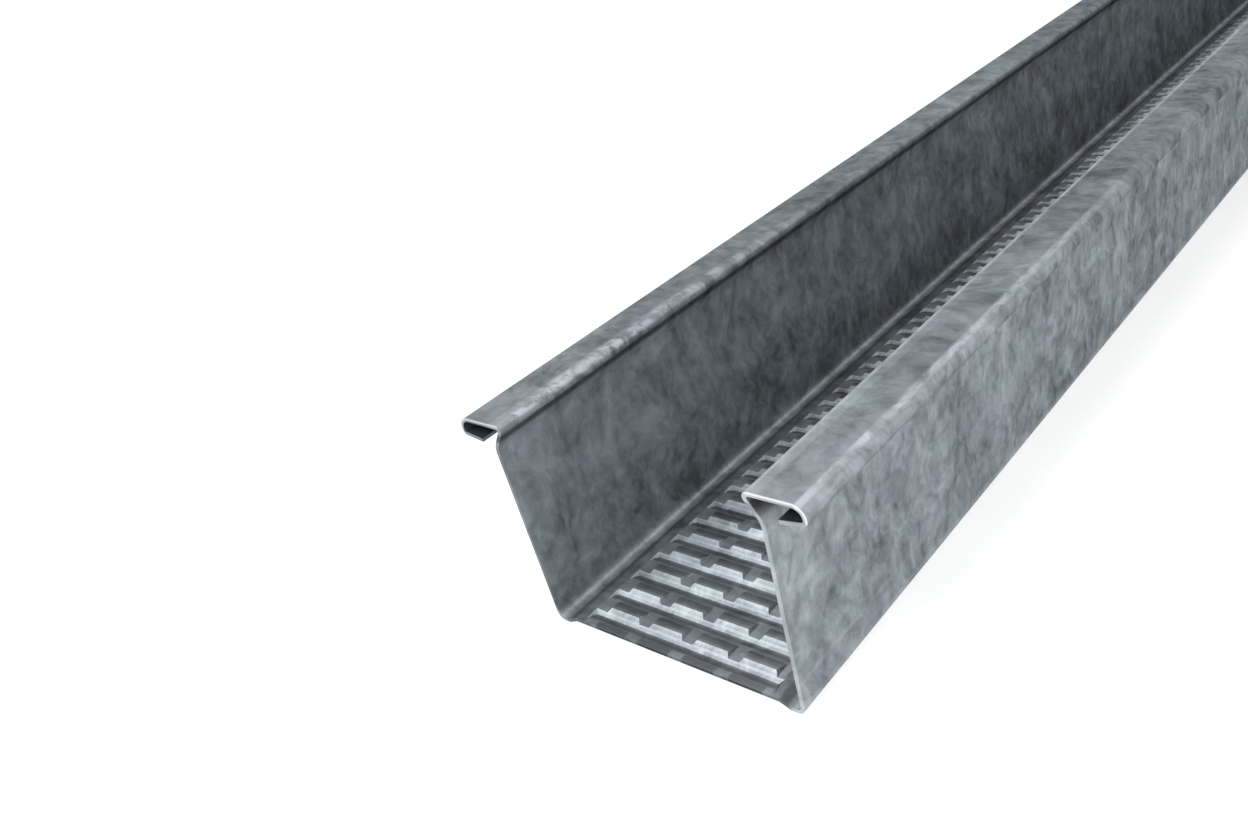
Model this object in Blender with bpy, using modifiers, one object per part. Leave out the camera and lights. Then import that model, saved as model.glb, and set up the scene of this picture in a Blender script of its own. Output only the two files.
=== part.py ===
"""Furring channel: one length of roll-formed galvanised steel strip.

A hat section that lies on its web with its open side up. The two rails under the corners carry
the web a little clear of the floor, the walls lean outwards, a neck turns each wall back in,
and a flange goes outwards from the neck and ends in an open hem.

Metres, +Z up. The length runs along Y, and the origin is on the floor under the middle.
"""

import math

import bmesh
import bpy
from mathutils import Vector

# Driving sizes of the stock
STOCK_LENGTH = 3.0
SHEET = 0.0005
FACE_WIDTH = 0.038
DEPTH = 0.029
OVERALL_WIDTH = 0.0494

# Web: a flat panel between two rails that stand proud of its underside
PANEL_WIDTH = 0.0334
PANEL_RISE = 0.0007
STEP_RUN = 0.0009

# Wall, neck and flange
WALL_LEAN = 0.0005
NECK_HEIGHT = 0.0033
NECK_INSET = 0.0021
HEM_HEIGHT = 0.0024
LIP_LENGTH = 0.0034
LIP_SLOPE = math.radians(8)

# Bend radii, each to the middle of the sheet
STEP_RADIUS = 0.0004
CORNER_RADIUS = 0.0008
NECK_RADIUS = 0.0025
FOLD_RADIUS = 0.0005
HEM_TOP_RADIUS = 0.0014
HEM_FOOT_RADIUS = 0.00045

# Facets: the largest turn of one facet of a bend
FACET_TURN = math.radians(9)

MERGE = 0.00001
NAME = "furring_channel"


def clear_scene():
    """Empties the file."""
    for thing in list(bpy.data.objects):
        bpy.data.objects.remove(thing, do_unlink=True)


def corners():
    """The sharp corners of the right half's middle line, from the web's centre to the lip's
    end, as (x, z, bend radius)."""
    half = SHEET / 2
    panel_edge = PANEL_WIDTH / 2
    bend_x = FACE_WIDTH / 2 + WALL_LEAN - half
    edge_x = OVERALL_WIDTH / 2 - half
    lip_root = DEPTH - HEM_HEIGHT + half
    lip_drop = (LIP_LENGTH - half) * math.tan(LIP_SLOPE)
    return [
        (0.0, PANEL_RISE + half, 0.0),
        (panel_edge, PANEL_RISE + half, STEP_RADIUS),
        (panel_edge + STEP_RUN, half, STEP_RADIUS),
        (FACE_WIDTH / 2 - half, half, CORNER_RADIUS),
        (bend_x, DEPTH - NECK_HEIGHT, NECK_RADIUS),
        (bend_x - NECK_INSET, DEPTH - half, FOLD_RADIUS),
        (edge_x, DEPTH - half, HEM_TOP_RADIUS),
        (edge_x, lip_root, HEM_FOOT_RADIUS),
        (OVERALL_WIDTH / 2 - LIP_LENGTH, lip_root - lip_drop, 0.0),
    ]


def half_angle(before, corner, after):
    """Half the angle between the two sides that meet at a corner."""
    return (before - corner).angle(after - corner) / 2


def reaches(sharp):
    """How far each bend reaches along its two sides. Two bends that would meet on a side are
    both made smaller, so that they share it."""
    points = [point for point, _ in sharp]
    wanted = [0.0]
    for i, (_, radius) in enumerate(sharp[1:-1], start=1):
        wanted.append(radius / math.tan(half_angle(*points[i - 1:i + 2])))
    wanted.append(0.0)
    shares = []
    for i, (start, end) in enumerate(zip(points, points[1:])):
        needed = wanted[i] + wanted[i + 1]
        shares.append(min(1.0, (end - start).length / needed) if needed else 1.0)
    return [
        reach * min(shares[max(i - 1, 0)], shares[min(i, len(shares) - 1)])
        for i, reach in enumerate(wanted)
    ]


def bend(before, corner, after, reach):
    """The points of the arc that rounds a corner, from reach before it to reach after it."""
    to_before = (before - corner).normalized()
    to_after = (after - corner).normalized()
    half = half_angle(before, corner, after)
    middle = corner + (to_before + to_after).normalized() * (reach / math.cos(half))
    start = corner + to_before * reach - middle
    end = corner + to_after * reach - middle
    turn = start.angle(end)
    facets = max(1, math.ceil(turn / FACET_TURN))
    side = (end - start * math.cos(turn)) / math.sin(turn)
    return [
        middle + start * math.cos(turn * i / facets) + side * math.sin(turn * i / facets)
        for i in range(facets + 1)
    ]


def middle_line():
    """The right half's middle line, with its corners rounded, as points across the stock."""
    sharp = [(Vector((x, z)), radius) for x, z, radius in corners()]
    reach = reaches(sharp)
    points = [point for point, _ in sharp]
    line = [points[0]]
    for i in range(1, len(points) - 1):
        line += bend(points[i - 1], points[i], points[i + 1], reach[i])
    line.append(points[-1])
    return line


def strip_mesh():
    """The right half of the strip's middle surface: the line drawn out along the stock."""
    bm = bmesh.new()
    line = [bm.verts.new((point.x, -STOCK_LENGTH / 2, point.y)) for point in middle_line()]
    edges = [bm.edges.new(pair) for pair in zip(line, line[1:])]
    drawn = bmesh.ops.extrude_edge_only(bm, edges=edges)
    far_end = [part for part in drawn["geom"] if isinstance(part, bmesh.types.BMVert)]
    bmesh.ops.translate(bm, verts=far_end, vec=(0, STOCK_LENGTH, 0))
    bmesh.ops.recalc_face_normals(bm, faces=bm.faces)
    mesh = bpy.data.meshes.new(NAME)
    bm.to_mesh(mesh)
    bm.free()
    return mesh


def galvanised_steel():
    """Zinc-coated sheet: mid grey with a blue cast, half polished."""
    material = bpy.data.materials.new("galvanised_steel")
    material.use_nodes = True
    shader = material.node_tree.nodes["Principled BSDF"]
    shader.inputs["Base Color"].default_value = (0.45, 0.48, 0.50, 1.0)
    shader.inputs["Metallic"].default_value = 1.0
    shader.inputs["Roughness"].default_value = 0.38
    return material


def furring_channel(collection):
    """The whole length: the half strip, mirrored about the web's centre and given its wall."""
    channel = bpy.data.objects.new(NAME, strip_mesh())
    collection.objects.link(channel)
    channel.data.materials.append(galvanised_steel())

    mirror = channel.modifiers.new("mirror", "MIRROR")
    mirror.use_axis = (True, False, False)
    mirror.merge_threshold = MERGE

    wall = channel.modifiers.new("sheet", "SOLIDIFY")
    wall.thickness = SHEET
    wall.offset = 0.0
    wall.use_even_offset = True
    return channel


def main():
    clear_scene()
    collection = bpy.data.collections.new(NAME)
    bpy.context.scene.collection.children.link(collection)
    furring_channel(collection)


main()
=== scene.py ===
# %% [markdown]
# A furring channel and its finish
#
# A furring channel is thin steel strip, rolled into the shape of a hat. Plasterboard is screwed
# to its flat web, and its two flanges clip under a hanger. This lesson dresses one length of it:
# the strip itself with the knurl that is rolled into its web, the zinc on it, and the plain
# studio that it is shown in.
#
# The measured model comes first. Everything below stands in its frame, in metres, with the
# length along Y and the floor at zero, so no piece has to be fitted afterwards. Its box gives
# the width, the depth and the length that the sizes below start from.

# %% Load the measured model
import math
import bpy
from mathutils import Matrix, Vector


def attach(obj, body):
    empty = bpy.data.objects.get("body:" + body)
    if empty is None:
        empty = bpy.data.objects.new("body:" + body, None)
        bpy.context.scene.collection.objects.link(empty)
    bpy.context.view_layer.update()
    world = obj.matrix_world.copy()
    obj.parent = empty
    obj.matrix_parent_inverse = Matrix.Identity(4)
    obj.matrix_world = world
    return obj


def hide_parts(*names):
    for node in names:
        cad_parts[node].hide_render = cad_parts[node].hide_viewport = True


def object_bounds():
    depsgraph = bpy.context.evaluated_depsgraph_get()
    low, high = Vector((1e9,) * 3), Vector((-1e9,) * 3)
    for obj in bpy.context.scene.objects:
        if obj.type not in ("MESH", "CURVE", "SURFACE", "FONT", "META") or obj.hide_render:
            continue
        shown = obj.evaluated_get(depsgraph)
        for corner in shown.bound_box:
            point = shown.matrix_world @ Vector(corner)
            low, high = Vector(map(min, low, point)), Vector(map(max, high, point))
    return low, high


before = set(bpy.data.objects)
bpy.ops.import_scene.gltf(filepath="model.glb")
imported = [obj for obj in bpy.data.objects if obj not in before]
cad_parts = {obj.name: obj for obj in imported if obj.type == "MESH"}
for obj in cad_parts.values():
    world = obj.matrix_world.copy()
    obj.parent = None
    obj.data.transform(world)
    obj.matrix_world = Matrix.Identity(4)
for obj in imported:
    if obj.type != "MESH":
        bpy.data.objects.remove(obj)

from types import SimpleNamespace

import bmesh
import bpy
from mathutils import Matrix, Vector

NODE = "furring_channel"
MM = 1000.0
cad_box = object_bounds()
HALF_WIDTH = cad_box[1].x
DEPTH = cad_box[1].z
LENGTH = cad_box[1].y - cad_box[0].y
print("measured box:", [list(corner) for corner in cad_box])

# %% [markdown]
# The camera
#
# The photograph is taken from close by, just above the near end, with a moderately wide lens
# and a slight roll. A camera could be aimed by eye, but its place, its three angles and its
# lens can also be worked out from the straight edges of the channel, and that is what these
# numbers are. The clip start is short, because the steel begins a hand's width away.

# %% Place the camera
CAMERA_PLACE = (0.077687, -1.561410, 0.085561)
CAMERA_TURN = (59.8246, 11.3948, 36.8815)
SENSOR_WIDTH = 36.0
FOCAL_LENGTH = 31.629
SIDE_SHIFT = -0.09295
CLIP_START = 0.005


def place_camera():
    """Makes the scene's camera."""
    lens = bpy.data.cameras.new("camera")
    lens.sensor_width = SENSOR_WIDTH
    lens.lens = FOCAL_LENGTH
    lens.shift_x = SIDE_SHIFT
    lens.clip_start = CLIP_START
    camera = bpy.data.objects.new("camera", lens)
    camera.location = CAMERA_PLACE
    camera.rotation_euler = [math.radians(angle) for angle in CAMERA_TURN]
    bpy.context.scene.collection.objects.link(camera)
    bpy.context.scene.camera = camera
    return camera


camera = place_camera()
print("camera at", [round(part, 4) for part in camera.location])

# %% [markdown]
# Sums in a shader
#
# A material mixes many masks. Written node by node, a sum such as 1 - mask takes several lines
# and hides what it means. Here a wire is a socket that Python can calculate with: each operator
# adds its Math node and gives back a new wire. Every other node comes from one method, which
# sets the node's settings first and then fills or links its sockets.

# %% Wrap a socket
class Wire:
    """A shader socket that sums can be written with."""

    def __init__(self, tree, socket=None):
        self.tree = tree
        self.socket = socket

    def node(self, kind, settings=None, sockets=None, out=0):
        """Adds a node: settings, then values or wires for its sockets. Gives one output."""
        made = self.tree.nodes.new(kind)
        for name, value in (settings or {}).items():
            setattr(made, name, value)
        for name, value in (sockets or {}).items():
            if isinstance(value, Wire):
                self.tree.links.new(value.socket, made.inputs[name])
            else:
                made.inputs[name].default_value = value
        return Wire(self.tree, made.outputs[out])

    def math(self, operation, first, second=0.0):
        """Adds a Math node."""
        return self.node("ShaderNodeMath", {"operation": operation}, {0: first, 1: second})

    def __add__(self, other):
        return self.math("ADD", self, other)

    def __radd__(self, other):
        return self.math("ADD", other, self)

    def __sub__(self, other):
        return self.math("SUBTRACT", self, other)

    def __rsub__(self, other):
        return self.math("SUBTRACT", other, self)

    def __mul__(self, other):
        return self.math("MULTIPLY", self, other)

    def __rmul__(self, other):
        return self.math("MULTIPLY", other, self)

    def __abs__(self):
        return self.math("ABSOLUTE", self)

    def most(self, other):
        """The larger of two values."""
        return self.math("MAXIMUM", self, other)

    def ramp(self, start, end, low=0.0, high=1.0):
        """A soft step: low up to start, high from end on."""
        return self.node(
            "ShaderNodeMapRange",
            {"interpolation_type": "SMOOTHSTEP"},
            {0: self, 1: start, 2: end, 3: low, 4: high},
        )

    def into(self, socket):
        """Links this wire to a socket of a node that is there already."""
        self.tree.links.new(self.socket, socket)


# %% [markdown]
# The studio
#
# Metal shows what stands round it, so the studio is part of the finish. A white world lights
# the channel evenly from all sides. A soft sun stands above the near end: it picks out the
# slopes of the knurl that face it and leaves the others grey, and its light is the same along
# all three metres. A soft lamp stands in front, to the right, and looks into the near end, so
# that the walls fade a little into the distance. Together they light a sheet of paper to about
# the level of the paper.
#
# The floor is white paper. It could be lit harder until it looks white, but that would bleach
# the steel, so the rays that look at it see some white added instead, and the channel's shadow
# stays on it.

# %% Light the studio
WORLD_LEVEL = 0.32
SUN_FROM = (-0.15, -0.50, 0.85)
SUN_LEVEL = 2.4
SUN_SPREAD = math.radians(30)
LAMP_PLACE = (0.30, -1.85, 0.30)
LAMP_AIM = (0.0, -1.5, 0.015)
LAMP_SIZE = 0.30
LAMP_LEVEL = 2.6


def studio_white(tree):
    """1 for rays that look at the studio, straight or in a mirror, and 0 for the others."""
    rays = Wire(tree).node("ShaderNodeLightPath", out="Is Camera Ray")
    paths = rays.socket.node.outputs
    mirror = Wire(tree, paths["Is Glossy Ray"])
    through = Wire(tree, paths["Is Transmission Ray"])
    return rays.most(mirror).most(through)


def light_world():
    """A plain white world, which is exactly white where a ray looks at it."""
    world = bpy.data.worlds.new("studio")
    world.use_nodes = True
    bpy.context.scene.world = world
    background = world.node_tree.nodes["Background"]
    background.inputs["Color"].default_value = (1.0, 1.0, 1.0, 1.0)
    seen = studio_white(world.node_tree)
    (WORLD_LEVEL + (1.0 - WORLD_LEVEL) * seen).into(background.inputs["Strength"])


def hang_sun():
    """The soft sun above the near end."""
    light = bpy.data.lights.new("soft sun", "SUN")
    light.energy = SUN_LEVEL
    light.angle = SUN_SPREAD
    sun = bpy.data.objects.new("soft sun", light)
    sun.location = SUN_FROM
    sun.rotation_euler = Vector(SUN_FROM).to_track_quat("Z", "Y").to_euler()
    bpy.context.scene.collection.objects.link(sun)


def stand_lamp():
    """The soft lamp in front. Its level is what it adds on paper that faces it at its aim."""
    light = bpy.data.lights.new("soft lamp", "AREA")
    light.shape = "DISK"
    light.size = LAMP_SIZE
    away = Vector(LAMP_PLACE) - Vector(LAMP_AIM)
    light.energy = LAMP_LEVEL * math.pi * away.length_squared
    lamp = bpy.data.objects.new("soft lamp", light)
    lamp.location = LAMP_PLACE
    lamp.rotation_euler = away.to_track_quat("Z", "Y").to_euler()
    lamp.visible_camera = False
    bpy.context.scene.collection.objects.link(lamp)


light_world()
hang_sun()
stand_lamp()
bpy.context.scene.view_settings.view_transform = "Standard"
lit = WORLD_LEVEL + SUN_LEVEL * Vector(SUN_FROM).normalized().z / math.pi
print("light on level paper:", round(lit, 2))

# %% Lay the floor
FLOOR_SIZE = 12.0
FLOOR_COLOUR = (0.5, 0.5, 0.5, 1.0)
FLOOR_LIFT = 0.6


def paper_floor():
    """White paper under the channel."""
    bm = bmesh.new()
    bmesh.ops.create_grid(bm, x_segments=1, y_segments=1, size=FLOOR_SIZE / 2)
    mesh = bpy.data.meshes.new("floor")
    bm.to_mesh(mesh)
    bm.free()
    paper = bpy.data.materials.new("white paper")
    paper.use_nodes = True
    shader = paper.node_tree.nodes["Principled BSDF"]
    shader.inputs["Base Color"].default_value = FLOOR_COLOUR
    shader.inputs["Roughness"].default_value = 1.0
    shader.inputs["Specular IOR Level"].default_value = 0.0
    shader.inputs["Emission Strength"].default_value = FLOOR_LIFT
    seen = studio_white(paper.node_tree)
    seen.into(shader.inputs["Emission Color"])
    mesh.materials.append(paper)
    floor = bpy.data.objects.new("floor", mesh)
    bpy.context.scene.collection.objects.link(floor)


paper_floor()
print("floor:", FLOOR_SIZE, "m across")

# %% [markdown]
# One row of the knurl
#
# The mill rolls a pattern into the web, so that a screw's point doesn't skate on it. Each row
# has a groove right across the web, and behind it four raised pads with level sheet between
# them. It could be a bump in the material, but then its slopes would not catch the lamp at
# their own angles and it would be lost from the mesh, so it is real relief. It isn't quite in
# the middle of the web, as on the real strip.
#
# Only the sheet's middle surface is drawn, because the sheet gets its thickness later. A row
# starts as a grid, whose points are laid on lines across the web: the groove's near line, the
# foot and the heel of its valley, its far line and the row's end. Extruding a line step by step
# would give the same net, but Blender then keeps its faces in another order on every run.

# %% Sizes of the knurl
SHEET = 0.0005
PANEL_RISE = 0.0007
WEB_LEVEL = PANEL_RISE + SHEET / 2
KNURL_EDGES = (-0.0143, 0.0147)
ROW_PITCH = 0.00404
COLUMNS = 4
COLUMN_PITCH = 0.00692
FIRST_COLUMN = -0.00976
PAD_WIDTH = 0.0053
PAD_LENGTH = 0.0021
PAD_HEIGHT = 0.00044
PAD_CREST = 0.00066
CREST_FLAT = 0.0002
PAD_END_RUN = 0.00045
GROOVE_WIDTH = ROW_PITCH - PAD_LENGTH
GROOVE_DEPTH = 0.00028
GROOVE_VALLEY = 0.00126
VALLEY_FLAT = 0.0002
GROOVE_END_RUN = 0.0004
MERGE = 0.000004
print("rows in the length:", round(LENGTH / ROW_PITCH))

# %% Draw one row
def draw_net(bm, section, steps):
    """A net of faces: a section, as (x, z) points, at each step, as (y, rise). Gives its points."""
    verts = bmesh.ops.create_grid(
        bm, x_segments=len(section) - 1, y_segments=len(steps) - 1, size=1.0)["verts"]
    for i, vert in enumerate(verts):
        x, z = section[i % len(section)]
        y, rise = steps[i // len(section)]
        vert.co = (x, y, z + rise)
    return verts


def each_once(parts):
    """The parts without doubles, in their order."""
    return list(dict.fromkeys(parts))


def column_middles():
    """Where the columns of pads are, across the web."""
    return [FIRST_COLUMN + COLUMN_PITCH * i for i in range(COLUMNS)]


def draw_row(bm):
    """The net of one row, with a point wherever a pad or the knurl ends."""
    stops = [KNURL_EDGES[0]]
    for middle in column_middles():
        stops += [middle - PAD_WIDTH / 2, middle + PAD_WIDTH / 2]
    stops.append(KNURL_EDGES[1])
    foot = GROOVE_VALLEY - VALLEY_FLAT / 2
    lines = (
        (0.0, 0.0), (foot, -GROOVE_DEPTH), (foot + VALLEY_FLAT, -GROOVE_DEPTH),
        (GROOVE_WIDTH, 0.0), (ROW_PITCH, 0.0),
    )
    draw_net(bm, [(x, WEB_LEVEL) for x in stops], lines)


def end_groove(bm):
    """Draws in the valley's two ends and gives each a sloping end face. Gives the end points."""
    valley = [vert for vert in bm.verts if vert.co.z < WEB_LEVEL - GROOVE_DEPTH / 2]
    brim = [
        vert for vert in bm.verts
        if vert.co.y < GROOVE_WIDTH + MERGE and vert not in valley
    ]
    tips = []
    for edge in KNURL_EDGES:
        tip = [vert for vert in valley if abs(vert.co.x - edge) < MERGE]
        rim = [vert for vert in brim if abs(vert.co.x - edge) < MERGE]
        inward = (-math.copysign(GROOVE_END_RUN, edge), 0, 0)
        bmesh.ops.translate(bm, verts=tip, vec=inward)
        bmesh.ops.contextual_create(bm, geom=tip + rim)
        tips += tip
    return tips


def clear_groove(bm, tips):
    """Takes away the groove's points that nothing needs, all but the ends of its valley."""
    between = [
        vert for vert in bm.verts
        if vert.co.z < WEB_LEVEL - GROOVE_DEPTH / 2 and vert not in tips
    ]
    along = each_once(
        edge for vert in between for edge in vert.link_edges
        if abs(edge.verts[0].co.x - edge.verts[1].co.x) < MERGE)
    bmesh.ops.dissolve_edges(bm, edges=along, use_verts=False)
    bmesh.ops.dissolve_verts(bm, verts=between)


def raise_pads(bm):
    """Raises the pads out of the level strip behind the groove."""
    pads = [
        face for face in bm.faces for middle in column_middles()
        if face.calc_center_median().y > GROOVE_WIDTH
        and abs(face.calc_center_median().x - middle) < MERGE
    ]
    run = (PAD_LENGTH - CREST_FLAT) / 2
    bmesh.ops.inset_individual(bm, faces=pads, thickness=run, use_even_offset=True)
    longer = (PAD_WIDTH / 2 - PAD_END_RUN) / (PAD_WIDTH / 2 - run)
    for pad in pads:
        middle = pad.calc_center_median()
        space = Matrix.Translation(-middle)
        bmesh.ops.scale(bm, verts=pad.verts, vec=(longer, 1, 1), space=space)
        rise = (0, GROOVE_WIDTH + PAD_CREST - middle.y, PAD_HEIGHT)
        bmesh.ops.translate(bm, verts=pad.verts, vec=rise)


strip = bmesh.new()
draw_row(strip)
clear_groove(strip, end_groove(strip))
raise_pads(strip)
print("faces in a row:", len(strip.faces))

# %% [markdown]
# A run of rows and its walls
#
# The rows repeat every four millimetres, but the walls beside them are plain, so they need no
# points there. Sixteen rows make one run. The walls of a run are a net too: the section's sharp
# line at the run's two ends. It is mirrored, and then each fold is rounded with the bevel
# operator by the length that its bend takes from the flats. The gaps between the knurl's many
# points and the walls' few are bridged.

# %% Repeat the row
RUN_ROWS = 16
RUN_LENGTH = RUN_ROWS * ROW_PITCH


def everything(bm):
    """All parts of a mesh, as the operators take them."""
    return bm.verts[:] + bm.edges[:] + bm.faces[:]


def repeat(bm, pitch, copies):
    """Copies the whole mesh along the stock and joins the copies."""
    first = everything(bm)
    for i in range(1, copies):
        copy = bmesh.ops.duplicate(bm, geom=first)["geom"]
        verts = [part for part in copy if isinstance(part, bmesh.types.BMVert)]
        bmesh.ops.translate(bm, verts=verts, vec=(0, pitch * i, 0))
    bmesh.ops.remove_doubles(bm, verts=bm.verts, dist=MERGE)


repeat(strip, ROW_PITCH, RUN_ROWS)
print("one run:", round(RUN_LENGTH * MM, 2), "mm,", len(strip.faces), "faces")

# %% Sizes of the walls, flanges and hems
FACE_WIDTH = 0.038
MARGIN_START = 0.0157
RAIL_START = 0.0172
WALL_LEAN = 0.0005
NECK_HEIGHT = 0.0033
NECK_INSET = 0.0021
HEM_HEIGHT = 0.0024
LIP_LENGTH = 0.0034
LIP_SLOPE = math.tan(math.radians(8))

# Lines of the middle surface
FLOOR_LINE = SHEET / 2
TOP_LINE = DEPTH - SHEET / 2
WALL_FOOT = FACE_WIDTH / 2 - SHEET / 2
WALL_TOP = WALL_FOOT + WALL_LEAN
NECK_LINE = DEPTH - NECK_HEIGHT
EDGE_LINE = HALF_WIDTH - SHEET / 2
HEM_LINE = DEPTH - HEM_HEIGHT + SHEET / 2
LIP_RUN = LIP_LENGTH - SHEET / 2
LIP_END = (EDGE_LINE - LIP_RUN, HEM_LINE - LIP_RUN * LIP_SLOPE)

# Each fold: x, z, the length it takes from the flats beside it, and its facets
FOLDS = (
    (RAIL_START, FLOOR_LINE, 0.00030, 4),
    (WALL_FOOT, FLOOR_LINE, 0.00095, 10),
    (WALL_TOP, NECK_LINE, 0.00080, 5),
    (WALL_TOP - NECK_INSET, TOP_LINE, 0.00111, 14),
    (EDGE_LINE, TOP_LINE, 0.001387, 11),
    (EDGE_LINE, HEM_LINE, 0.000505, 9),
)
print("folds on each side:", len(FOLDS))

# %% Add the walls of a run
def draw_walls(bm):
    """The walls, flanges and hems of one run, from the web's margins on."""
    corners = [(MARGIN_START, WEB_LEVEL)] + [fold[:2] for fold in FOLDS] + [LIP_END]
    verts = draw_net(bm, corners, ((0.0, 0.0), (RUN_LENGTH, 0.0)))
    edges = each_once(edge for vert in verts for edge in vert.link_edges)
    faces = each_once(face for vert in verts for face in vert.link_faces)
    bmesh.ops.mirror(bm, geom=verts + edges + faces, merge_dist=0.0, axis="X")


def edges_along(bm, x, z):
    """The edges that run along the stock at one place of the section."""
    place = Vector((x, z))
    return [
        edge for edge in bm.edges
        if all((vert.co.xz - place).length < MERGE for vert in edge.verts)
    ]


def round_folds(bm):
    """Rounds the sharp folds of both sides."""
    for x, z, reach, facets in FOLDS:
        bmesh.ops.bevel(
            bm, geom=edges_along(bm, x, z) + edges_along(bm, -x, z), offset=reach,
            offset_type="OFFSET", segments=facets, profile=0.5, affect="EDGES",
            clamp_overlap=False, material=-1)


draw_walls(strip)
round_folds(strip)
for edge in KNURL_EDGES:
    rim = edges_along(strip, edge, WEB_LEVEL)
    margin = edges_along(strip, math.copysign(MARGIN_START, edge), WEB_LEVEL)
    bmesh.ops.bridge_loops(strip, edges=rim + margin)
    print("rim edges bridged at", edge, "m:", len(rim))

# %% [markdown]
# The whole length
#
# The runs are laid end to end past both ends and sawn to length with a plane, so the pattern is
# cut wherever the saw meets it, as on real stock. The normals are set right before the sheet
# gets its thickness, half to each side. The thickness follows the slopes of the knurl, so the
# ends are pressed flat afterwards.
#
# Bevel, bridge and saw leave their edges and faces in another order on every run too, so these
# are sorted by place once, and the mesh comes out the same each time.

# %% Join and cut the length
FIRST_GROOVE = 0.00066
SORTING = Vector((0.37, 1.0, 0.61))
start = -LENGTH / 2 + FIRST_GROOVE - ROW_PITCH
runs = math.ceil((LENGTH / 2 - start) / RUN_LENGTH)
repeat(strip, RUN_LENGTH, runs)
bmesh.ops.translate(strip, verts=strip.verts, vec=(0, start, 0))


def saw(bm, end):
    """Cuts off what is beyond one end of the stock."""
    bmesh.ops.bisect_plane(
        bm, geom=everything(bm), dist=MERGE / 4, plane_co=(0, end * LENGTH / 2, 0),
        plane_no=(0, end, 0), clear_outer=True)


def sort_by_place(parts):
    """Puts edges or faces in an order that depends on nothing but where they are."""
    parts.sort(key=lambda part: sum((vert.co for vert in part.verts), Vector()).dot(SORTING))


def press_cuts(bm):
    """Presses the web level along both cuts, as the blade does."""
    for vert in bm.verts:
        if LENGTH / 2 - abs(vert.co.y) < MERGE and abs(vert.co.x) < MARGIN_START:
            vert.co.z = WEB_LEVEL


saw(strip, -1)
saw(strip, 1)
sort_by_place(strip.edges)
sort_by_place(strip.faces)
press_cuts(strip)
bmesh.ops.recalc_face_normals(strip, faces=strip.faces)
print("runs:", runs, "faces of the middle surface:", len(strip.faces))

# %% Give the sheet its thickness
END_ZONE = 0.0003


def thicken(bm):
    """The strip as a closed body, half a sheet to each side of its middle surface."""
    mesh = bpy.data.meshes.new("middle surface")
    bm.to_mesh(mesh)
    bm.free()
    sheet = bpy.data.objects.new("middle surface", mesh)
    bpy.context.scene.collection.objects.link(sheet)
    wall = sheet.modifiers.new("sheet", "SOLIDIFY")
    wall.thickness = SHEET
    wall.offset = 0.0
    wall.use_even_offset = True
    graph = bpy.context.evaluated_depsgraph_get()
    thick = bmesh.new()
    thick.from_mesh(sheet.evaluated_get(graph).to_mesh())
    bpy.data.objects.remove(sheet)
    bpy.data.meshes.remove(mesh)
    return thick


def flatten_ends(bm):
    """Presses the cut ends back onto their planes."""
    for vert in bm.verts:
        if LENGTH / 2 - abs(vert.co.y) < END_ZONE:
            vert.co.y = math.copysign(LENGTH / 2, vert.co.y)


body = thicken(strip)
flatten_ends(body)
open_edges = [edge for edge in body.edges if not edge.is_manifold]
triangles = sum(len(face.verts) - 2 for face in body.faces)
print("triangles:", triangles, "open edges:", len(open_edges))

# %% Make the piece
SHARP_ANGLE = math.radians(20)


def strip_piece(bm):
    """The finished mesh as an object that stands for the measured node."""
    for face in bm.faces:
        face.smooth = True
    mesh = bpy.data.meshes.new("strip")
    bm.to_mesh(mesh)
    bm.free()
    mesh.set_sharp_from_angle(angle=SHARP_ANGLE)
    piece = bpy.data.objects.new("strip", mesh)
    bpy.context.scene.collection.objects.link(piece)
    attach(piece, "root")
    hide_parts(NODE)
    return piece


channel = strip_piece(body)
print("strip:", [round(size, 5) for size in channel.dimensions])

# %% [markdown]
# Galvanised steel
#
# The zinc went on as a melt and was rolled while it set, so it is neither one grey nor neat
# crystals: cloudy patches a centimetre across, broken into smaller ones and drawn a little
# across the strip, some faintly violet and some faintly green. It could be painted, but noise
# on the object's own coordinates needs no picture and runs on round every bend. The patches are
# drawn out by stretching two of the three axes, because the strip is as wide as it is in X and
# Z together, and the length is Y.
#
# The finish is laid on in layers: first the zinc, then painted shade in the folds and on the knurl
# and darker spots on the cut, then painted highlights on the edges, and last the cut's bright edge,
# partly bare steel and partly a painted highlight.
# Each layer is a mask, 1 where it covers and 0 where it doesn't, and has its own function.

# %% Helpers for the zinc
def noise(point, scale, detail=3.0, roughness=0.5, out=0):
    """A noise on a wire of coordinates."""
    return point.node(
        "ShaderNodeTexNoise", None,
        {"Vector": point, "Scale": scale, "Detail": detail, "Roughness": roughness}, out)


def on_vectors(operation, first, second):
    """Adds a Vector Math node for two vectors."""
    return first.node("ShaderNodeVectorMath", {"operation": operation}, {0: first, 1: second})


def stretched(point, factors):
    """Coordinates with each axis scaled by its own factor."""
    return on_vectors("MULTIPLY", point, factors)


def warped(point, scale, reach):
    """Coordinates pushed about by a slow noise, so that straight patterns turn wavy."""
    push = noise(point, scale, 2.0, 0.5, 1)
    centred = on_vectors("SUBTRACT", push, (0.5, 0.5, 0.5))
    return on_vectors("ADD", point, stretched(centred, (reach, reach, reach)))


def blend_colours(share, first, second, kind="MIX"):
    """A Mix node for colours. The first colour is a wire where the share is a number."""
    settings = {"data_type": "RGBA", "blend_type": kind, "clamp_factor": True}
    wire = share if isinstance(share, Wire) else first
    return wire.node("ShaderNodeMix", settings, {0: share, 6: first, 7: second}, 2)


# %% [markdown]
# Places on the section
#
# A mask has to know which part of the section a point is on. Painted weights could tell it, but
# the section is the same all along, so the point's own place is enough: how far it is across
# from the middle, how high, and how far from the nearest cut. The material works in millimetres,
# which are easy to hold against a ruler. A wall leans, so its two faces are told apart by the
# place where its slope would meet the floor.

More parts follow.
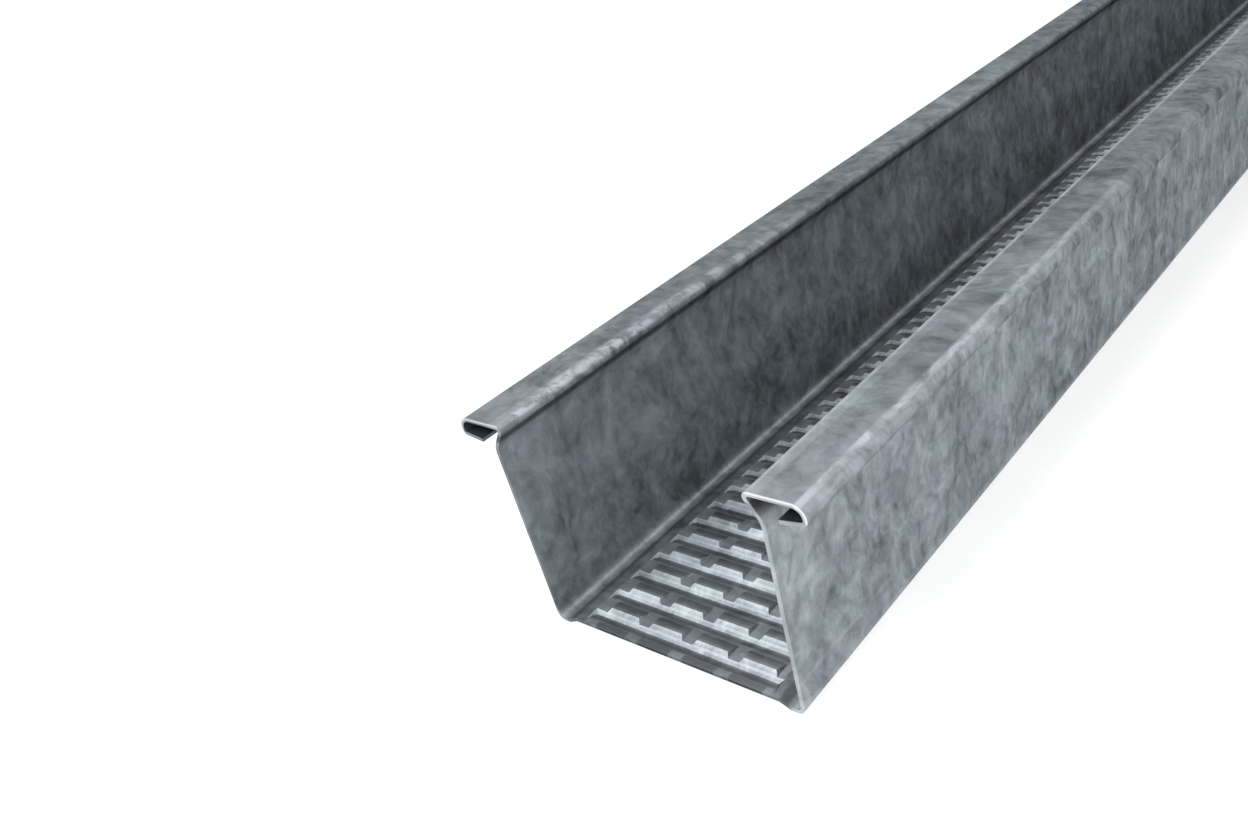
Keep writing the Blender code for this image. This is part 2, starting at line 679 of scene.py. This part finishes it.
# %% Find the places
WALL_SLOPE = WALL_LEAN / (NECK_LINE - FLOOR_LINE)
KNURL_SIDE = MM * KNURL_EDGES[1]
FLANGE_FOLD = (MM * (WALL_TOP - NECK_INSET), MM * TOP_LINE)
HEM_RADIUS = 1.4
HEM_BEND = (MM * EDGE_LINE - HEM_RADIUS, MM * TOP_LINE - HEM_RADIUS)
WEB_TOP = MM * (WEB_LEVEL + SHEET / 2)


def find_places(tree):
    """Where a point of the steel is, in millimetres, with masks for the parts it can be on."""
    metres = Wire(tree).node("ShaderNodeTexCoord", out="Object")
    point = stretched(metres, (MM, MM, MM))
    axes = point.node("ShaderNodeSeparateXYZ", None, {0: point}).socket.node.outputs
    at = SimpleNamespace(point=point)
    at.side = Wire(tree, axes["X"])
    at.length = Wire(tree, axes["Y"])
    at.height = Wire(tree, axes["Z"])
    at.across = abs(at.side)
    at.from_end = MM * LENGTH / 2 - abs(at.length)
    at.web = at.across.ramp(15.9, 15.3) * at.height.ramp(3.0, 2.0)
    at.knurled = at.across.ramp(KNURL_SIDE, KNURL_SIDE - 0.4)
    at.flange = at.height.ramp(28.0, 28.6)
    at.right = at.side.ramp(-1.0, 1.0, 0.3, 1.0)
    return at


def hem_round(at):
    """The square of the distance from the middle of the hem's upper bend."""
    beside = (at.across - HEM_BEND[0]).most(0.0)
    above = (at.height - HEM_BEND[1]).most(0.0)
    return beside * beside + above * above


finish = bpy.data.materials.new("galvanised steel")
finish.use_nodes = True
at = find_places(finish.node_tree)
print("nodes for the places:", len(finish.node_tree.nodes))

# %% [markdown]
# Patches in the zinc
#
# One noise looks like a cloud, and a coat of zinc has structure at every size. Several noises
# are made once, each for one size of patch, and the layers below share them. All but the finest
# run through coordinates that are pushed about first, so that no edge of a patch is straight.
# The veins are the thin dark lines between crystals: a noise is near its middle value along
# lines. The drawn pattern and the blots break up the painted highlights.

# %% Make the patterns
def zinc_patterns(at):
    """The noises of the zinc, from the largest patches to the smallest, and those that break up the
    painted highlights.
    """
    slow = warped(at.point, 0.10, 6.0)
    wavy = warped(slow, 0.35, 2.0)
    ridges = noise(stretched(wavy, (0.6, 1.0, 0.6)), 0.33, 3.0, 0.5) - 0.5
    drawn = noise(stretched(wavy, (1.0, 0.35, 1.0)), 0.8, 3.0, 0.55)
    blots = noise(stretched(wavy, (0.8, 1.0, 0.8)), 0.4, 4.0, 0.65)
    return SimpleNamespace(
        clouds=noise(slow, 0.075, 3.0, 0.55),
        cast=noise(slow, 0.12, 2.0, 0.5),
        gloss=noise(slow, 0.3, 3.0, 0.6),
        patches=noise(stretched(wavy, (0.75, 1.0, 0.75)), 0.26, 4.0, 0.61),
        strokes=noise(stretched(wavy, (0.7, 1.0, 0.7)), 0.75, 2.0, 0.55),
        grain=noise(at.point, 2.4, 2.0, 0.6),
        veins=abs(ridges).ramp(0.0, 0.05),
        drawn=drawn.ramp(0.24, 0.76),
        blots=blots.ramp(0.42, 0.62),
    )


zinc = zinc_patterns(at)
print("patterns:", ", ".join(vars(zinc)))

# %% [markdown]
# How light the zinc is
#
# The colour runs between a dark and a light zinc. The patterns set the tone, and each part of
# the strip then moves it a little, mostly with painted light and shade: the flanges are darker,
# the left one more; the web has painted shade, more towards the right, and painted shade along
# its margins and on the outer sides of the hems; the inner walls have painted shade low down
# and painted light high up near the cut; and the last eight centimetres at the cut have painted
# light. The steps between parts are soft, because it is one coat on one strip.

# %% Set the tone
MIDDLE_TONE = 0.49
VEIN_MIDDLE = 0.7
FLANGE_DARKER = 0.25
# The web, the inner walls, the edges and the cut get painted shade and painted light:
WEB_SHADE = (0.08, 0.2)
INSIDE_LOW_SHADE = 0.22
INSIDE_HIGH_LIGHT = 0.2
EDGE_SHADE = 0.12
END_LIGHT = 0.08


def patchy_tone(at, zinc):
    """The tone of the coat as the patterns give it, calmer on the flanges."""
    spread = 1.75 * (zinc.patches - 0.5) + 1.05 * (zinc.strokes - 0.5)
    spread = spread + 0.2 * (zinc.grain - 0.5)
    tone = MIDDLE_TONE + 0.75 * (zinc.clouds - 0.5) + 0.08 * (zinc.veins - VEIN_MIDDLE)
    return tone + spread * (0.90 - 0.28 * at.flange)


def zinc_tone(at, zinc):
    """How light the zinc is, from 0, dark, to 1, light, with painted light and shade laid in."""
    inside = (at.across - WALL_SLOPE * at.height).ramp(18.85, 18.65) * at.across.ramp(17.6, 18.2)
    low = inside * at.height.ramp(17.0, 3.0) * at.from_end.ramp(0.0, 40.0, 0.4, 1.0)
    high = inside * at.height.ramp(6.0, 22.0) * at.from_end.ramp(60.0, 0.0)
    # Painted light near the cut, and painted light high on the inner walls and painted shade low on
    # them.
    tone = patchy_tone(at, zinc) + at.from_end.ramp(80.0, 0.0, 0.0, END_LIGHT)
    tone = tone + INSIDE_HIGH_LIGHT * high - INSIDE_LOW_SHADE * low
    # The flanges are darker, the left one more.
    tone = tone - at.flange * (FLANGE_DARKER - 0.08 * at.right)
    # Painted shade on the web, more towards the right.
    tone = tone - at.web * at.side.ramp(-14.0, 14.0, *WEB_SHADE)
    # Painted shade on the web's margins and on the outer sides of the hems.
    web_margin = at.web * at.across.ramp(14.2, 14.8)
    hem_side = at.across.ramp(24.2, 24.6)
    return tone - EDGE_SHADE * web_margin - EDGE_SHADE * hem_side


tone = zinc_tone(at, zinc)
print("nodes with the tone:", len(finish.node_tree.nodes))

# %% [markdown]
# Painted shade in the folds
#
# Shade falls where the sheet is tucked in: in the necks, inside the hems, along the crease beside
# the web, under the flanges' inner folds and on the knurl, so it is painted there as a dark colour.
# Ambient occlusion could find such places, but it is slow and is lost when the model is exported,
# so each place is given by its bounds on the section. On the web the painted shade lies on the
# far slopes of the pads and in the grooves before them, so the mask repeats with the pitch of the
# rows and of the columns.

# %% Lay painted shade in the folds
# How dark the painted shade is in each fold:
NECK_SHADE = 0.65
HEM_SHADE = 0.89
CREASE_SHADE = 0.5
CROOK_SHADE = 0.82
NECK_OUTWARD = (0.82, 0.57)


def shade_in_folds(at):
    """Painted shade in the necks, in the hems, beside the web and under the flange's inner fold."""
    neck = at.across.ramp(19.6, 19.1) * at.height.ramp(26.2, 27.0) * at.height.ramp(28.1, 27.4)
    above_lip = (at.height + LIP_SLOPE * (24.2 - at.across)).ramp(26.98, 27.08)
    either_hem = at.side.ramp(20.2, 21.8).most(at.side.ramp(0.0, -1.0))
    hem = hem_round(at).ramp(1.6, 1.4) * above_lip * at.across.ramp(19.6, 20.4) * either_hem
    crease = at.across.ramp(15.3, 15.8) * at.across.ramp(17.0, 16.6) * at.height.ramp(3.0, 2.0)
    outward = NECK_OUTWARD[0] * (at.across - FLANGE_FOLD[0])
    outward = outward + NECK_OUTWARD[1] * (at.height - FLANGE_FOLD[1])
    crook = outward.ramp(0.05, 0.15) * at.across.ramp(20.0, 18.4) * at.from_end.ramp(0.02, 0.08)
    crook = crook * at.height.ramp(28.6, 28.5) * at.height.ramp(25.4, 27.4)
    painted_shade_and_spots = (NECK_SHADE * neck).most(HEM_SHADE * hem)
    return painted_shade_and_spots.most(CREASE_SHADE * crease).most(CROOK_SHADE * crook)


# Painted shade in the folds, where the sheet is tucked in.
painted_shade_and_spots = shade_in_folds(at)
print("nodes with the dirt in the folds:", len(finish.node_tree.nodes))

# %% Lay painted shade on the knurl
# How dark the painted shade is on the knurl, near the cut and far from it, and on the stubs:
GROOVE_SHADE = (0.38, 0.26)
STUB_SHADE = 0.75


def repeated(wire, start, pitch):
    """The place within one repeat of the knurl, from 0 to its pitch."""
    beyond = wire - start
    return beyond.math("FLOORED_MODULO", beyond, pitch)


def shade_on_knurl(at):
    """Painted shade in the grooves, on the far slopes of the pads, and on what the cut left of
    pads.
    """
    first_crest = FIRST_GROOVE + GROOVE_WIDTH + PAD_CREST - LENGTH / 2
    along = repeated(at.length, MM * first_crest, MM * ROW_PITCH)
    column = repeated(at.side, MM * (FIRST_COLUMN - COLUMN_PITCH / 2), MM * COLUMN_PITCH)
    from_middle = abs(column - MM * COLUMN_PITCH / 2)
    pad = from_middle.ramp(MM * PAD_WIDTH / 2, MM * PAD_WIDTH / 2 - 0.4) * at.knurled
    slope = pad.most(abs(at.height - WEB_TOP).ramp(0.0, 0.1))
    lee = at.web * along.ramp(0.1, 0.4) * along.ramp(2.6, 2.3) * slope
    lee = lee * (1.0 + 0.3 * pad * along.ramp(0.9, 1.3) * along.ramp(2.2, 1.8))
    stub = at.web * pad * at.from_end.ramp(1.1, 0.7)
    return (at.from_end.ramp(15.0, 60.0, *GROOVE_SHADE) * lee).most(STUB_SHADE * stub)


# Painted shade on the far slopes of the pads and in the grooves.
painted_shade_and_spots = painted_shade_and_spots.most(shade_on_knurl(at))
print("nodes with the dirt on the knurl:", len(finish.node_tree.nodes))

# %% Darken spots on the cut
CUT_REACH = (0.08, 0.03)


def darker_spots_on_cut(at):
    """Darker spots on the cut face, from the left wall across the web, and beside the right neck.
    """
    cut = at.from_end.ramp(*CUT_REACH)
    left = at.side.ramp(17.6, 16.6) * at.height.ramp(24.0, 26.5, 1.0, 0.3)
    neck = 0.75 * at.side.ramp(16.0, 17.0) * at.side.ramp(20.2, 19.6) * at.height.ramp(24.0, 26.0)
    spots = noise(stretched(at.point, (1.0, 0.0, 0.0)), 0.35, 2.0, 0.6)
    return left.most(neck) * cut * at.height.ramp(28.7, 28.2) * spots.ramp(0.45, 0.6, 0.2, 0.6)


# Darker spots on the cut face.
painted_shade_and_spots = painted_shade_and_spots.most(darker_spots_on_cut(at))
print("nodes with all the dirt:", len(finish.node_tree.nodes))

# %% [markdown]
# Painted highlights
#
# Where the edges would catch the light, a brighter colour is painted: the outer edge and the inner
# fold of each flange, the crests of the pads, the level sheet between them, the rails and a crease
# low on the right wall. The corner at the cut is brightest. A bevel shader could find the edges,
# but it takes them all alike, and here the right flange has a painted highlight in a band and the
# left one only in spots. The bands are broken up by the drawn pattern and fade away from the cut.

# %% Paint highlights on the flanges
EDGE_BAND = 23.8
BEND_BAND = 24.35
# How strong the painted highlights on the flanges are:
BAND_HIGHLIGHT = 0.75


def highlights_on_flanges(at, zinc):
    """Painted highlights: bright bands along the hems and spots on the flanges' inner folds."""
    near_end = at.from_end.ramp(80.0, 15.0, 0.05, 1.0)
    fading = at.from_end.ramp(95.0, 35.0, 0.1, 1.1)
    edge = abs(at.across - EDGE_BAND).ramp(0.65, 0.15) * at.flange * fading
    bend = abs(at.across - BEND_BAND).ramp(0.6, 0.1) * at.height.ramp(26.8, 27.6) * near_end
    # A painted highlight on the flanges near the cut.
    flange_glint = at.flange * at.from_end.ramp(28.0, 5.0)
    corner = 0.9 * at.from_end.ramp(7.0, 1.0)
    hem = edge.most(0.55 * bend).most(0.3 * flange_glint) * at.right * zinc.drawn.most(corner)
    fold = at.across.ramp(19.5, 18.4) * at.across.ramp(16.6, 17.2) * at.height.ramp(27.4, 28.1)
    fold = fold * (1.15 - at.right) * zinc.blots * near_end
    rim = at.across.ramp(18.5, 17.9) * at.height.ramp(27.6, 28.2) * (at.right - 0.3)
    return (hem + fold).most(rim * (0.4 + zinc.drawn))


# Painted highlights on the flanges.
painted_highlights = BAND_HIGHLIGHT * highlights_on_flanges(at, zinc)
print("nodes with the rubbed flanges:", len(finish.node_tree.nodes))

# %% Paint highlights on the knurl, the rails and the wall
# How strong the painted highlights on the knurl, the rails and the crease are:
CREST_HIGHLIGHT = 0.15
LEVEL_HIGHLIGHT = 0.22
RAIL_HIGHLIGHT = 0.32
CREASE_HIGHLIGHT = 0.225
CREASE_LINE_HEIGHT = 4.5


def highlights_on_web(at, zinc):
    """Painted highlights on the crests of the pads, on the level sheet between them, and on the
    rails.
    """
    crests = at.web * at.height.ramp(1.3, 1.6)
    level = at.knurled * at.height.ramp(1.08, 1.17) * at.height.ramp(1.34, 1.24)
    rail = at.across.ramp(17.2, 17.9) * at.height.ramp(1.9, 1.0) * (0.3 + zinc.drawn)
    return (CREST_HIGHLIGHT * crests).most(LEVEL_HIGHLIGHT * level).most(RAIL_HIGHLIGHT * rail)


def crease_glint(at, zinc):
    """A painted highlight along a crease that runs in from the cut, low on the right wall's outer
    face.
    """
    outer = (at.side - WALL_SLOPE * at.height).ramp(18.8, 18.9) * at.height.ramp(25.0, 24.0)
    # The painted highlight of the crease, as a thin bright line.
    line = abs(at.height - CREASE_LINE_HEIGHT).ramp(0.5, 0.1) * at.from_end.ramp(38.0, 20.0)
    return CREASE_HIGHLIGHT * line * outer * zinc.drawn


# Painted highlights on the knurl, the rails and the crease of the right wall.
painted_highlights = painted_highlights.most(highlights_on_web(at, zinc)).most(crease_glint(at, zinc))
print("nodes with all the wear:", len(finish.node_tree.nodes))

# %% [markdown]
# The whole finish
#
# The layers are mixed from the bottom up, and the cast of violet and green goes over all but the
# bare cut. Its bright edge is partly bare steel and partly a painted highlight: it is thin and
# bright round the hems and hardly shows on the right wall. Blender's metal would turn white at a
# glancing angle, which zinc with its thin skin of oxide doesn't, so the specular tint holds it
# down. The web has been pressed by the rolls and is a little glossier.
# A faint bump of the same patches makes the reflections uneven.

# %% Mix the finish
# The dark and the light ends of the tone, the painted highlight, the bright cut and the painted
# shade:
DARK_ZINC = (0.140, 0.155, 0.166, 1.0)
LIGHT_ZINC = (0.425, 0.461, 0.485, 1.0)
HIGHLIGHT_ZINC = (0.62, 0.65, 0.68, 1.0)
CUT_STEEL_AND_GLINT = (0.75, 0.77, 0.79, 1.0)
SHADE_AND_SPOT_COLOUR = (0.02, 0.022, 0.023, 1.0)
EDGE_TINT = (0.2, 0.2, 0.2, 1.0)
VIOLET_CAST = (1.0, 0.985, 1.02, 1.0)
GREEN_CAST = (0.98, 1.006, 0.985, 1.0)
ZINC_ROUGHNESS = 0.6
WEB_ROUGHNESS = 0.5
GLOSS_SPREAD = 0.16
BUMP_STRENGTH = 0.35
BUMP_HEIGHT = 0.0002


def coat_colour(tone, painted_shade_and_spots, painted_highlights, cast):
    """The colour of the coat: zinc, the painted shade and dark spots over it, the painted
    highlights over both, and the cast.
    """
    toned = blend_colours(tone, DARK_ZINC, LIGHT_ZINC)
    shaded_and_lit = blend_colours(painted_highlights, blend_colours(painted_shade_and_spots, toned, SHADE_AND_SPOT_COLOUR), HIGHLIGHT_ZINC)
    hue = blend_colours(cast.ramp(0.35, 0.65), VIOLET_CAST, GREEN_CAST)
    return blend_colours(1.0, shaded_and_lit, hue, "MULTIPLY")


def bare_cut_and_glint(at):
    """The bright edge of the cut, partly bare steel and partly a painted highlight: round the hems,
    and faintly down the right wall.
    """
    hems = hem_round(at).ramp(1.75, 2.2) * (0.5 + 0.4 * at.right)
    right_wall = 0.22 * at.side.ramp(16.6, 17.6)
    return at.from_end.ramp(*CUT_REACH) * hems.most(right_wall)


def roughness(at, zinc):
    """How rough the coat is: a little less on the web, and uneven everywhere."""
    even = ZINC_ROUGHNESS + (WEB_ROUGHNESS - ZINC_ROUGHNESS) * at.web
    return even + GLOSS_SPREAD * (zinc.gloss - 0.5)


def bump(zinc):
    """The faint relief of the patches, as a bent normal."""
    relief = 0.5 * zinc.strokes + 0.6 * zinc.patches + 0.2 * zinc.grain
    return relief.node(
        "ShaderNodeBump", None,
        {"Height": relief, "Strength": BUMP_STRENGTH, "Distance": BUMP_HEIGHT})


shader = finish.node_tree.nodes["Principled BSDF"]
shader.inputs["Metallic"].default_value = 1.0
shader.inputs["Specular Tint"].default_value = EDGE_TINT
# The cut's bright edge, partly bare steel and partly a painted highlight, goes over the coat.
colour = blend_colours(bare_cut_and_glint(at), coat_colour(tone, painted_shade_and_spots, painted_highlights, zinc.cast), CUT_STEEL_AND_GLINT)
colour.into(shader.inputs["Base Color"])
roughness(at, zinc).into(shader.inputs["Roughness"])
bump(zinc).into(shader.inputs["Normal"])
channel.data.materials.append(finish)
print("nodes in the finish:", len(finish.node_tree.nodes))

# %% [markdown] Finish
